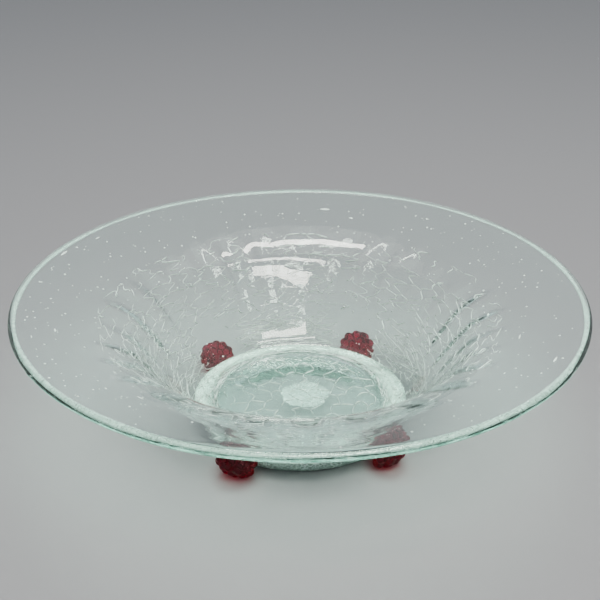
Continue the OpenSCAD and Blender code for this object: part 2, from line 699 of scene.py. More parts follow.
AQUA = GlassFinish(
    name="aqua_crackle_glass", tint=(0.955, 0.99, 0.98), depth_colour=(0.32, 0.90, 0.76),
    density=12.0, shadow=(0.86, 0.92, 0.90), clarity=0.985, mask="crackle",
    relief=Relief(ripple=0.03 * MM, broad=26.0, fine=150.0, share=0.04, crack=0.03 * MM,
                  cells=105.0, line_width=0.04, polish=0.0, crack_roughness=0.2),
)
PAD_GLASS = GlassFinish(
    name="clear_pad_glass", tint=(0.96, 0.99, 0.985), depth_colour=(0.34, 0.88, 0.76),
    density=11.0, shadow=(0.82, 0.88, 0.86), clarity=1.0, mask="crackle",
    relief=Relief(ripple=0.05 * MM, broad=60.0, fine=240.0, share=0.10, crack=0.18 * MM,
                  cells=230.0, line_width=0.10, polish=0.02, crack_roughness=0.4),
)
PUNTY_GLASS = GlassFinish(
    name="broken_punty_glass", tint=(0.97, 0.99, 0.985), depth_colour=(0.34, 0.88, 0.76),
    density=11.0, shadow=(0.70, 0.76, 0.74), clarity=0.62,
    relief=Relief(ripple=0.8 * MM, broad=170.0, fine=520.0, share=0.3, crack=0.3 * MM,
                  cells=200.0, line_width=0.12, polish=0.14, crack_roughness=0.5),
)
CRANBERRY = GlassFinish(
    name="cranberry_glass", tint=(0.76, 0.10, 0.21), depth_colour=(0.76, 0.06, 0.20),
    density=155.0, shadow=(0.55, 0.08, 0.16), clarity=0.97,
    relief=Relief(ripple=0.10 * MM, broad=200.0, fine=700.0, share=0.2, crack=0.02 * MM,
                  cells=300.0, line_width=0.05, polish=0.02, crack_roughness=0.10),
)
CRACK_SILVER = SparkleFinish(
    name="crack_silver", colour=(0.94, 0.99, 0.97), roughness=0.4, faintest=0.6,
    strongest=1.0, patch=34.0,
)
SEED_SILVER = SparkleFinish(
    name="seed_silver", colour=(0.97, 1.0, 0.99), roughness=0.25, faintest=0.6,
    strongest=1.0, patch=24.0,
)
# Painted rim glow: a milky mint sheet in the rim that stands in for light carried along the glass and
# let out at the rim.
PAINTED_RIM_GLOW = VeilFinish(
    name="painted_rim_glow_sheet", colour=(0.74, 0.98, 0.89), cells=90.0, line_width=0.2,
    plate_cover=0.42, line_cover=0.50,
)
AIR_VEIL = VeilFinish(
    name="trapped_air_veil", colour=(0.91, 1.0, 0.96), cells=270.0, line_width=0.14,
    plate_cover=0.62, line_cover=1.0,
)


# ---------------------------------------------------------------------------------------------
# The vessel
# ---------------------------------------------------------------------------------------------


@dataclass(frozen=True)
class CrackBand:
    """A band of honeycomb round the wall, between two arcs, with a share of its cracks kept."""

    low: float
    high: float
    around: int
    chains: int
    kept: float


@dataclass
class CrackNet:
    """Cracks of the quenched bubble: bands of jittered honeycomb, and hair cracks at the heel.

    Each crack is a row of points in (angle, arc). Their cells are about a finger's width.
    """

    seed: int = 11
    points_per_crack: int = 7
    bands: tuple[CrackBand, ...] = (
        CrackBand(low=56 * MM, high=72 * MM, around=58, chains=3, kept=0.85),
        CrackBand(low=78 * MM, high=134 * MM, around=48, chains=7, kept=0.90),
        CrackBand(low=141 * MM, high=150 * MM, around=54, chains=2, kept=0.40),
    )
    zigzag: float = 0.18
    jitter: float = 0.24
    bow: float = 0.10
    wriggle: float = 0.06
    floor_reach: float = 52 * MM
    floor_cell: float = 12 * MM
    floor_row: float = 0.87
    floor_zigzag: float = 0.17
    floor_jitter: float = 0.2
    floor_bow: float = 0.12
    floor_kept: float = 0.78
    hairs: int = 120
    hair_lean: float = 0.035

    def build(self) -> tuple[Array, Array]:
        """Lays all the cracks.

        Returns:
            Angles and arcs, each (cracks, points per crack).
        """
        rng = np.random.default_rng(self.seed)
        laid = [self._honeycomb(rng, band) for band in self.bands]
        laid += [self._hair(rng), self._floor(rng)]
        return np.vstack([a for a, _ in laid]), np.vstack([s for _, s in laid])

    def _bowed(self, rng: np.random.Generator, start: Array, end: Array) -> tuple[Array, Array]:
        """Cracks from start to end, each bowed aside by sin(pi t) and by sin(2 pi t).

        The way aside is (rise / r^2, -turn * r^2) for a crack that turns and rises by those, with
        r the arc at its start, at least 20 mm. It bends an upright crack far more than a level one.

        Args:
            rng: Source of the bows.
            start: (angle, arc) of each crack's start.
            end: (angle, arc) of its end.

        Returns:
            Angles and arcs of the points on them.
        """
        t = np.linspace(0.0, 1.0, self.points_per_crack)[None, :, None]
        line = start[:, None] + (end - start)[:, None] * t
        square = np.maximum(start[:, 1], 20 * MM)[:, None, None] ** 2
        aside = (end - start)[:, None, ::-1] * np.concatenate([1.0 / square, -square], axis=-1)
        bow = rng.normal(0.0, self.bow, (len(start), 1, 1)) * np.sin(math.pi * t)
        bow = bow + rng.normal(0.0, self.wriggle, (len(start), 1, 1)) * np.sin(2 * math.pi * t)
        line = line + aside * bow
        return line[..., 0], line[..., 1]

    def _honeycomb(self, rng: np.random.Generator, band: CrackBand) -> tuple[Array, Array]:
        """One band: zigzag chains round the bowl, joined by struts, every node jittered.

        Args:
            rng: Source of the jitter and of what is left out.
            band: Where the band lies and how many cells it has.

        Returns:
            Angles and arcs of the points on them.
        """
        pitch = (band.high - band.low) / max(band.chains - 1, 1)
        column = np.arange(2 * band.around)
        row = np.arange(band.chains)[:, None]
        zigzag = np.where((column + row) % 2 == 0, self.zigzag, -self.zigzag)
        slip = rng.uniform(-self.jitter, self.jitter, (2, band.chains, 2 * band.around))
        angle = (column + 1.6 * slip[0]) * math.pi / band.around
        arc = band.low + (row + zigzag + slip[1]) * pitch
        node = np.stack([angle, arc], axis=-1)
        ahead = np.roll(node, -1, axis=1)
        ahead[:, -1, 0] += 2.0 * math.pi
        rises = (column + row[:-1]) % 2 == 0
        start = np.vstack([node.reshape(-1, 2), node[:-1][rises]])
        end = np.vstack([ahead.reshape(-1, 2), node[1:][rises]])
        keep = rng.random(len(start)) < band.kept
        return self._bowed(rng, start[keep], end[keep])

    def _floor(self, rng: np.random.Generator) -> tuple[Array, Array]:
        """The floor's cracks: a level honeycomb, jittered and clipped to the floor's disc.

        Args:
            rng: Source of the jitter and of what is left out.

        Returns:
            Angles and arcs of the points on them.
        """
        half = int(self.floor_reach / self.floor_cell) + 2
        column = np.arange(-2 * half, 2 * half + 1)
        row = np.arange(-half - 1, half + 2)[:, None]
        zigzag = np.where((column + row) % 2 == 0, self.floor_zigzag, -self.floor_zigzag)
        slip = rng.uniform(-self.floor_jitter, self.floor_jitter, (2, len(row), len(column)))
        x = (column / 2 + slip[0]) * self.floor_cell
        y = (row + zigzag + slip[1]) * self.floor_cell * self.floor_row
        node = np.stack([x, y], axis=-1)
        rises = (column + row[:-1]) % 2 == 0
        start = np.vstack([node[:, :-1].reshape(-1, 2), node[:-1][rises]])
        end = np.vstack([node[:, 1:].reshape(-1, 2), node[1:][rises]])
        near = np.maximum(np.linalg.norm(start, axis=1), np.linalg.norm(end, axis=1))
        keep = (rng.random(len(start)) < self.floor_kept) & (near < self.floor_reach)
        start, end = start[keep, None], end[keep, None]
        t = np.linspace(0.0, 1.0, self.points_per_crack)[None, :, None]
        aside = (end - start)[..., ::-1] * np.array([1.0, -1.0])
        bow = rng.normal(0.0, self.floor_bow, (len(start), 1, 1)) * np.sin(math.pi * t)
        line = start + (end - start) * t + aside * bow
        angle = np.unwrap(np.arctan2(line[..., 1], line[..., 0]), axis=1)
        return angle, np.hypot(line[..., 0], line[..., 1])

    def _hair(self, rng: np.random.Generator) -> tuple[Array, Array]:
        """Fine cracks that run up the wall out of the heel, each at its own slant.

        Args:
            rng: Source of their places, lengths and slants.

        Returns:
            Angles and arcs of the points on them.
        """
        angle = rng.uniform(0.0, 2.0 * math.pi, self.hairs)
        low = rng.uniform(70 * MM, 78 * MM, self.hairs)
        high = low + rng.uniform(5 * MM, 17 * MM, self.hairs)
        lean = rng.normal(0.0, self.hair_lean, self.hairs)
        return self._bowed(rng, np.stack([angle, low], -1), np.stack([angle + lean, high], -1))


@dataclass
class BowlBody:
    """The blown vessel: floor, crackled wall, flare and fire-polished rim, in one skin."""

    section: Section
    cracks: CrackNet
    columns: int = 500
    flute_count: int = 27
    flute_height: float = 0.85 * MM
    groove_depth: float = 0.07 * MM
    groove_width: float = 0.8 * MM
    feet: tuple[float, ...] = ()
    foot_radius: float = 75 * MM
    wobble: float = 0.5 * MM
    nub_angle: float = 206.0
    nub_height: float = 0.35 * MM
    nub_spread: float = 0.02
    pad_arc: float = 74 * MM
    rim_rows: int = 11

    def crackle_share(self, arc: Array) -> Array:
        """How crackled the glass is at an arc: full from floor to shoulder, none by the rim."""
        return 1.0 - smooth_step(arc, 128 * MM, 156 * MM)

    def clear_of_feet(self, points: Array) -> Array:
        """0 where a foot is fused on, and 1 away from it, by the distance from its root.

        Args:
            points: Places on the outer face, x, y and z last.

        Returns:
            One share per place.
        """
        share = np.ones(points.shape[:-1])
        for angle in self.feet:
            root = self.foot_radius * 1.04 * np.array([math.cos(angle), math.sin(angle)])
            away = np.linalg.norm(points[..., :2] - root, axis=-1)
            share = share * smooth_step(away, 12 * MM, 17 * MM)
        return share

    def flutes(self, angle: Array, arc: Array) -> Array:
        """Leaf-shaped waves up the wall: cos of the angle, drifting, strongest at the shoulder.

        Args:
            angle: Angles in radians.
            arc: Arcs that broadcast with them.

        Returns:
            How far the outer face stands out, in metres.
        """
        drift = 0.9 * np.sin(3 * angle + 0.7) + 0.7 * np.sin(5 * angle + 2.1)
        lean = (arc - 110 * MM) / (30 * MM) * 0.5 * np.sin(2 * angle)
        wave = np.cos(self.flute_count * angle + drift + lean)
        sharp = np.sign(wave) * np.abs(wave) ** 0.8
        uneven = 0.65 + 0.35 * np.sin(7 * angle + 1.3)
        where = smooth_step(arc, 84 * MM, 112 * MM) * (1.0 - smooth_step(arc, 134 * MM, 164 * MM))
        return self.flute_height * sharp * uneven * where

    def swell(self, angle: Array, arc: Array, face: Face) -> Array:
        """How far a face stands out of the true profile, without the cracks' grooves.

        Args:
            angle: Angles in radians.
            arc: Arcs that broadcast with them.
            face: Which face.

        Returns:
            Height along the face's outward normal, in metres.
        """
        profile, _ = self.section.across(arc, face.value * np.ones_like(arc))
        point = turned(profile, angle)
        calm = 1.0 - 0.75 * smooth_step(arc, 125 * MM, 160 * MM)
        slow = Swell(34 * MM, 3 + int(face.value)).at(point) * 0.10 * MM * calm
        quick = Swell(11 * MM, 7 + int(face.value)).at(point) * 0.02 * MM * calm**2
        free = smooth_step(arc, self.pad_arc, self.pad_arc + 8 * MM)
        if face is Face.INNER:
            rings = np.sin(2.0 * math.pi * arc / (9 * MM) + 0.6 * np.sin(2 * angle)) * 0.02 * MM
            outward = smooth_step(arc, 150 * MM, 165 * MM)
            return slow + quick + rings * outward + 0.25 * self.flutes(angle, arc)
        return (slow + quick + self.flutes(angle, arc)) * free * self.clear_of_feet(point)

    def grooves(self, angle: Array, arc: Array, points: Array) -> Array:
        """Depth of the outer face's grooves: a bell over the distance to the nearest crack.

        The cracks' own points are dropped on the grid, and each lowers the distance that the
        vertices within a few cells of it hold.

        Args:
            angle: The grid's angles, one per column.
            arc: The grid's arcs, one per row, rising.
            points: The grid's places, (rows, columns, 3).

        Returns:
            Depths in metres, (rows, columns).
        """
        crack_angle, crack_arc = self.cracks.build()
        fine = np.linspace(0.0, 1.0, 12)
        a = self._refined(crack_angle, fine)
        s = self._refined(crack_arc, fine)
        profile, _ = self.section.across(s, np.ones_like(s))
        spot = turned(profile, a)
        column = np.round(a / (2 * math.pi) * len(angle)).astype(int)
        row = np.round(np.interp(s, arc, np.arange(len(arc)))).astype(int)
        nearest = np.full(points.shape[:2], 1.0)
        for down in range(-2, 3):
            for along in range(-3, 4):
                r = np.clip(row + down, 0, len(arc) - 1)
                c = (column + along) % len(angle)
                gap = np.linalg.norm(points[r, c] - spot, axis=-1)
                np.minimum.at(nearest, (r, c), gap)
        return self.groove_depth * np.exp(-((nearest / self.groove_width) ** 2))

    @staticmethod
    def _refined(line: Array, fine: Array) -> Array:
        """Each crack's numbers read at more places between its points, as one flat array."""
        here, ahead = line[:, :-1, None], line[:, 1:, None]
        return (here + (ahead - here) * fine).ravel()

    def rim_lift(self, angle: Array, arc: Array) -> Array:
        """How far the hand-made rim strays up and down: two slow waves, fading inwards."""
        wave = 0.7 * np.sin(2 * angle + 0.9) + 0.3 * np.sin(5 * angle + 2.6)
        return self.wobble * wave * smooth_step(arc, 130 * MM, self.section.length)

    def skin(self) -> Skin:
        """Builds the closed skin: up the inner face, round the rim and down the outer face.

        Returns:
            The surface, with how crackled it is at each vertex.
        """
        section = self.section
        inner_arc = np.concatenate([
            np.linspace(3 * MM, 48 * MM, 20), np.linspace(50 * MM, 72 * MM, 15),
            np.linspace(74 * MM, 136 * MM, 34), np.linspace(139 * MM, section.length, 22),
        ])
        outer_arc = np.concatenate([
            np.linspace(3 * MM, 72 * MM, 20), np.linspace(73.4 * MM, 138 * MM, 50),
            np.linspace(141 * MM, section.length, 22),
        ])
        turn = angles(self.columns)
        inner = self._face_points(turn, inner_arc, Face.INNER)
        outer = self._face_points(turn, outer_arc, Face.OUTER)
        rim = self._rim_points(turn)
        rows = np.vstack([inner, rim, outer[::-1]])
        arcs = np.concatenate([inner_arc, np.full(self.rim_rows, section.length), outer_arc[::-1]])
        first = np.array([0.0, 0.0, section.floor_height])
        last = np.array([0.0, 0.0, section.floor_height - section.floor_thickness])
        first[2] += float(inner[0, :, 2].mean() - section.floor_height)
        skin = Skin.between_poles(rows, first, last).flipped()
        past_inner = np.arange(len(arcs)) > len(inner_arc)
        share = self.crackle_share(arcs) * np.where(past_inner, 1.0, 0.3)
        marks = share[:, None] * self.clear_of_feet(rows)
        skin.values["crackle"] = np.concatenate([marks.ravel(), [0.3, 1.0]])
        return skin

    def _face_points(self, turn: Array, arc: Array, face: Face) -> Array:
        """The grid of one face: the profile turned round, moved out by its swell.

        Args:
            turn: Angles of the columns.
            arc: Arcs of the rows.
            face: Which face.

        Returns:
            Places, (rows, columns, 3).
        """
        depth = np.full_like(arc, face.value)
        profile, way = self.section.across(arc, depth)
        out = way if face is Face.OUTER else -way
        angle, arcs = turn[None, :], arc[:, None]
        points = turned(profile[:, None], angle)
        height = self.swell(angle * np.ones_like(arcs), arcs * np.ones_like(angle), face)
        if face is Face.OUTER:
            free = smooth_step(arcs, self.pad_arc, self.pad_arc + 4 * MM)
            height = height - self.grooves(turn, arc, points) * free * self.clear_of_feet(points)
        moved = profile[:, None] + out[:, None] * height[..., None]
        moved[..., 1] += self.rim_lift(angle, arcs)
        return turned(moved, angle)

    def _rim_points(self, turn: Array) -> Array:
        """The round rim: a half circle from the inner face over the edge to the outer face.

        A small nub stands out on it, a bell over the angle.

        Args:
            turn: Angles of the columns.

        Returns:
            Places, (rows, columns, 3).
        """
        slope = self.section.rim_slope
        sweep = np.linspace(90.0 + slope, -90.0 + slope, self.rim_rows + 2)[1:-1]
        past_nub = (turn - math.radians(self.nub_angle)) / self.nub_spread
        nub = self.nub_height * np.exp(-(past_nub**2))
        ball = self.section.rim_ball + nub[None, :, None] * np.ones((self.rim_rows, 1, 1))
        profile = self.section.rim_centre + ball * heading(sweep)[:, None]
        profile[..., 1] += self.rim_lift(turn[None, :], np.array([[self.section.length]]))
        return turned(profile, turn[None, :])


@dataclass
class CrackVeins:
    """The cracks as they show: thin blades of air in the glass, from just under its outer face."""

    body: BowlBody
    width: float = 0.60 * MM
    blade: float = 1.7 * MM
    cover: float = 0.75 * MM
    taper: float = 0.3
    thinnest: float = 0.45
    boldest: float = 1.25
    foot_margin: float = 0.02
    seed: int = 5

    def skin(self) -> Skin:
        """Builds every crack as a three-sided blade that narrows to a point at both ends.

        A cross-section has two corners side by side under the outer face, and one deeper. Its
        width follows a low power of sin(pi t) along the crack. Cracks over a foot are left out.

        Returns:
            All the blades in one skin.
        """
        angle, arc = self.body.cracks.build()
        spot = turned(self.body.section.across(arc, np.ones_like(arc))[0], angle)
        seen = self.body.clear_of_feet(spot).min(axis=1) > self.foot_margin
        angle, arc = angle[seen], arc[seen]
        count, steps = angle.shape
        t = np.linspace(0.0, 1.0, steps)
        taper = np.clip(np.sin(math.pi * t), 0.0, 1.0) ** self.taper
        rng = np.random.default_rng(self.seed)
        bold = rng.uniform(self.thinnest, self.boldest, count)[:, None]
        profile, way = self.body.section.across(arc, np.ones_like(arc))
        lift = self.body.swell(angle, arc, Face.OUTER)
        rise = np.stack([np.zeros_like(lift), self.body.rim_lift(angle, arc)], axis=-1)
        base = profile + way * (lift - self.cover)[..., None] + rise
        tip = base - way * (self.blade * bold * taper)[..., None]
        centre, deep = turned(base, angle), turned(tip, angle)
        along = np.gradient(centre, axis=1)
        through = turned(way, angle)
        side = np.cross(along, through)
        side /= np.linalg.norm(side, axis=-1, keepdims=True) + 1e-12
        half = (self.width * bold * taper / 2)[..., None]
        ring = np.stack([centre - side * half, centre + side * half, deep], axis=2)
        index = np.arange(count * steps * 3).reshape(count, steps, 3)
        ahead = np.roll(index, -1, axis=2)
        quads = np.stack(
            [index[:, :-1], index[:, 1:], ahead[:, 1:], ahead[:, :-1]], axis=-1
        ).reshape(-1, 4)
        return Skin(ring.reshape(-1, 3), quads, np.zeros((0, 3), dtype=int))


@dataclass
class SeedBubbles:
    """Seeds: small bubbles caught in the glass, most in the flare, a few drawn out long."""

    body: BowlBody
    count: int = 760
    smallest: float = 0.34 * MM
    largest: float = 0.85 * MM
    long_share: float = 0.035
    blister_angle: float = 76.0
    blister_arc: float = 178 * MM
    blister_size: float = 1.3 * MM
    blister_stretch: float = 2.9
    seed: int = 23

    def skin(self) -> Skin:
        """Builds every seed as an octahedron cut once more, stretched round the bowl.

        The last one is a large flat blister in the flare.

        Returns:
            All the seeds in one skin.
        """
        rng = np.random.default_rng(self.seed)
        reach = np.sqrt(rng.uniform(0.06, 1.0, self.count))
        arc = reach * (self.body.section.length - 4 * MM)
        angle = rng.uniform(0.0, 2.0 * math.pi, self.count)
        size = self.smallest * (self.largest / self.smallest) ** (rng.random(self.count) ** 1.7)
        stretch = 1.0 + 5.0 * (rng.random(self.count) > 1.0 - self.long_share) * rng.random(self.count)
        angle = np.append(angle, math.radians(self.blister_angle))
        arc = np.append(arc, self.blister_arc)
        size = np.append(size, self.blister_size)
        stretch = np.append(stretch, self.blister_stretch)
        depth = np.append(rng.uniform(0.35, 0.6, self.count), 0.5)
        profile, way = self.body.section.across(arc, depth)
        profile[:, 1] += self.body.rim_lift(angle, arc)
        centre, through = turned(profile, angle), turned(way, angle)
        round_way = np.stack([-np.sin(angle), np.cos(angle), np.zeros_like(angle)], axis=-1)
        third = np.cross(through, round_way)
        ball, faces = self._ball()
        points = (
            centre[:, None]
            + ball[None, :, :1] * (round_way * (size * stretch)[:, None])[:, None]
            + ball[None, :, 1:2] * (third * size[:, None])[:, None]
            + ball[None, :, 2:] * (through * np.minimum(size, 0.9 * MM)[:, None])[:, None]
        )
        shift = np.arange(len(angle))[:, None, None] * len(ball)
        return Skin(points.reshape(-1, 3), np.zeros((0, 4), dtype=int),
                    (faces[None] + shift).reshape(-1, 3))

    @staticmethod
    def _ball() -> tuple[Array, Array]:
        """An octahedron with each face cut in four and pushed out to a sphere, 32 faces.

        Returns:
            Its points and its triangles.
        """
        points = np.array([[1, 0, 0], [-1, 0, 0], [0, 1, 0], [0, -1, 0], [0, 0, 1], [0, 0, -1]], float)
        faces = np.array([[0, 2, 4], [2, 1, 4], [1, 3, 4], [3, 0, 4],
                          [2, 0, 5], [1, 2, 5], [3, 1, 5], [0, 3, 5]])
        edges = np.sort(faces[:, [[0, 1], [1, 2], [2, 0]]].reshape(-1, 2), axis=1)
        unique, back = np.unique(edges, axis=0, return_inverse=True)
        middle = points[unique].sum(axis=1)
        middle /= np.linalg.norm(middle, axis=1)[:, None]
        mid = back.reshape(-1, 3) + len(points)
        a, b, c = faces.T
        ab, bc, ca = mid.T
        cut = np.concatenate([
            np.stack([a, ab, ca], -1), np.stack([ab, b, bc], -1),
            np.stack([ca, bc, c], -1), np.stack([ab, bc, ca], -1),
        ])
        return np.vstack([points, middle]), cut


# ---------------------------------------------------------------------------------------------
# The base
# ---------------------------------------------------------------------------------------------


@dataclass
class BasePad:
    """The pad of glass under the floor, with a rounded edge and a pushed-up middle."""

    section: Section
    clearance: float
    ring_radius: float = 63 * MM
    kick: float = 6.5 * MM
    punty_radius: float = 16.5 * MM
    edge_slope: float = -105.0
    broad_wave: float = 0.12 * MM
    fine_wave: float = 0.04 * MM
    columns: int = 360

    @property
    def flat_height(self) -> float:
        """Height of the flat middle of the underside."""
        return self.clearance + self.kick

    def edge_arc(self) -> float:
        """Arc at which the pad's edge meets the wall, as in the CAD model."""
        place = self.section.along(np.array([2.5]))[0]
        return self.section.arc_at_radius(float(place[0, 0]))

    def underside(self, count: int) -> Array:
        """Profile from the edge, round the lowest ring, and up to the flat middle.

        Args:
            count: Points on each of the two curves.

        Returns:
            (radius, height) pairs.
        """
        heel = self.section.across(np.array([self.edge_arc()]), np.ones(1))[0][0]
        t = np.linspace(0.0, 1.0, count)[:, None]
        ring = np.array([self.ring_radius, self.clearance])
        flat = np.array([self.punty_radius + 6 * MM, self.flat_height])
        edge, _ = hermite(heel, ring, heading(np.array(self.edge_slope)), heading(np.array(180.0)), t)
        push, _ = hermite(ring, flat, heading(np.array(180.0)), heading(np.array(180.0)), t)
        return np.vstack([edge, push[1:]])

    def skin(self) -> Skin:
        """Builds the closed skin: out along the top, round the edge and in along the underside.

        Returns:
            The surface, with how crackled it is at each vertex.
        """
        top_arc = np.linspace(3 * MM, self.edge_arc(), 34)
        top, way = self.section.across(top_arc, np.ones_like(top_arc))
        top = top + way * FUSED_GAP
        below = self.underside(26)
        middle = np.stack([np.linspace(20 * MM, 3 * MM, 8), np.full(8, self.flat_height)], -1)
        profile = np.vstack([top, below[1:], middle])
        turn = angles(self.columns)[None, :]
        rows = turned(profile[:, None], turn)
        fine, broad = Swell(7 * MM, 31).at(rows), Swell(16 * MM, 32).at(rows)
        hand = fine * self.fine_wave + broad * self.broad_wave
        free = np.arange(len(profile))[:, None] >= len(top)
        clear_of_punty = smooth_step(profile[:, :1], 19 * MM, 26 * MM)
        lift = np.maximum(hand, -self.clearance * 0.3) * free * clear_of_punty
        rows[..., 2] += np.abs(lift)
        first = np.array([0.0, 0.0, top[0, 1]])
        last = np.array([0.0, 0.0, self.flat_height])
        skin = Skin.between_poles(rows, first, last).flipped()
        radius = profile[:, 0]
        share = smooth_step(radius, 44 * MM, 56 * MM)
        skin.values["crackle"] = np.concatenate([np.repeat(share, self.columns), [0.0, 0.0]])
        return skin


@dataclass
class TrappedAir:
    """A silvery veil in the pad: air that stayed where it was pressed on the crackled bubble.

    A ring-shaped sheet just inside the pad, from the floor's edge round to past the lowest ring.
    """

    pad: BasePad
    first_radius: float = 49 * MM
    last_radius: float = 55 * MM
    depth: float = 0.45 * MM
    thickness: float = 0.12 * MM
    columns: int = 360

    def skin(self) -> Skin:
        """Builds the sheet as two faces a hair apart, closed at both edges.

        Returns:
            The surface, with how much of it is left at each vertex.
        """
        section = self.pad.section
        arc = np.linspace(section.arc_at_radius(self.first_radius), self.pad.edge_arc(), 22)[:-1]
        top, way = section.across(arc, np.ones_like(arc))
        below = self.pad.underside(30)[1:]
        past_ring = np.arange(len(below)) > 30
        kept = below[: int(np.argmax((below[:, 0] < self.last_radius) & past_ring))]
        line = np.vstack([top + way * FUSED_GAP, kept])
        course = np.gradient(line, axis=0)
        course /= np.linalg.norm(course, axis=1)[:, None]
        inward = np.stack([course[:, 1], -course[:, 0]], axis=-1)
        near = line + inward * self.depth
        far = line + inward * (self.depth + self.thickness)
        loop = np.vstack([near, far[::-1]])
        rows = turned(loop[:, None], angles(self.columns)[None, :])
        skin = Skin.closed_loop(rows)
        radius = line[:, 0]
        on_top = np.arange(len(line)) < len(top)
        start = np.where(on_top, smooth_step(radius, self.first_radius + MM, 56 * MM), 1.0)
        end = np.where(on_top, 1.0, smooth_step(radius, self.last_radius, 61 * MM))
        fade = start * end
        skin.values["fade"] = np.repeat(np.concatenate([fade, fade[::-1]]), self.columns)
        return skin


@dataclass
class PaintedRimGlowCord:
    """A milky mint cord in the rim: painted glow that stands in for light carried along the glass and
    let out at the rim.
    """

    body: BowlBody
    inset: float = 0.7 * MM
    half_width: float = 1.5 * MM
    half_height: float = 0.9 * MM
    # Cover of the painted rim glow, the same all round.
    painted_glow_cover: float = 0.8
    columns: int = 480
    sides: int = 12

    def skin(self) -> Skin:
        """Builds the cord: an ellipse swept round inside the rim, thinner in places.

        Returns:
            The surface, with how strong the painted glow is at each vertex.
        """
        section = self.body.section
        turn = angles(self.columns)[None, :]
        around = (np.arange(self.sides) * (2.0 * math.pi / self.sides))[:, None]
        thin = 0.78 + 0.22 * np.sin(4 * turn + 1.1) * np.sin(9 * turn)
        along = heading(np.array(section.rim_slope))
        across = heading(np.array(section.rim_slope + 90.0))
        centre = section.rim_centre - self.inset * along
        profile = (
            centre
            + (self.half_width * thin * np.cos(around))[..., None] * along
            + (self.half_height * thin * np.sin(around))[..., None] * across
        )
        profile[..., 1] += self.body.rim_lift(turn, np.array([[section.length]]))
        skin = Skin.closed_loop(turned(profile, turn)).flipped()
        # The painted glow's cover, the same at every vertex.
        skin.values["fade"] = np.full(len(skin.points), self.painted_glow_cover)
        return skin


@dataclass
class PuntyMark:
    """The rough wafer that the punty iron leaves: broken, with shell-shaped chips and swirls."""

    pad: BasePad
    thickness: float = 3.0 * MM
    thinnest: float = 0.3 * MM
    offset: float = 3.0 * MM
    columns: int = 200
    rings: int = 44

    def skin(self) -> Skin:
        """Builds the wafer: a smooth top on the pad, a ragged edge and a broken underside.

        The underside is the wafer's thickness less the folds |sin| of random waves, and less a
        spiral that the turning iron leaves.

        Returns:
            The surface.
        """
        radius = self.pad.punty_radius
        turn = angles(self.columns)[None, :]
        reach = np.linspace(0.04, 1.0, self.rings)[:, None]
        ragged = 1.0 + 0.035 * np.sin(5 * turn + 1.0) + 0.02 * np.sin(13 * turn) - 0.055
        flat = np.stack(
            [reach * radius * ragged * np.cos(turn), reach * radius * ragged * np.sin(turn)], -1
        )
        solid = np.concatenate([flat, np.zeros((*flat.shape[:2], 1))], axis=-1)
        folds = np.abs(Swell(9 * MM, 41).at(solid)) * 0.9 + np.abs(Swell(4 * MM, 42).at(solid)) * 0.4
        spiral = 0.5 + 0.5 * np.sin(2 * turn + reach * 26.0)
        hollow = (folds * 0.9 + spiral * 0.28) * MM
        edge = 1.0 - smooth_step(reach, 0.86, 1.0) * 0.75
        top_z = self.pad.flat_height - FUSED_GAP
        top = np.concatenate([flat, np.full((*flat.shape[:2], 1), top_z)], -1)
        low = top_z - np.maximum(self.thickness * edge - hollow, self.thinnest)
        bottom = np.concatenate([flat, low[..., None]], axis=-1)
        rows = np.vstack([top, bottom[::-1]])
        first = np.array([0.0, 0.0, top_z])
        last = np.array([0.0, 0.0, float(low[0].mean())])
        skin = Skin.between_poles(rows, first, last).flipped()
        skin.points[:, 0] += self.offset
        return skin


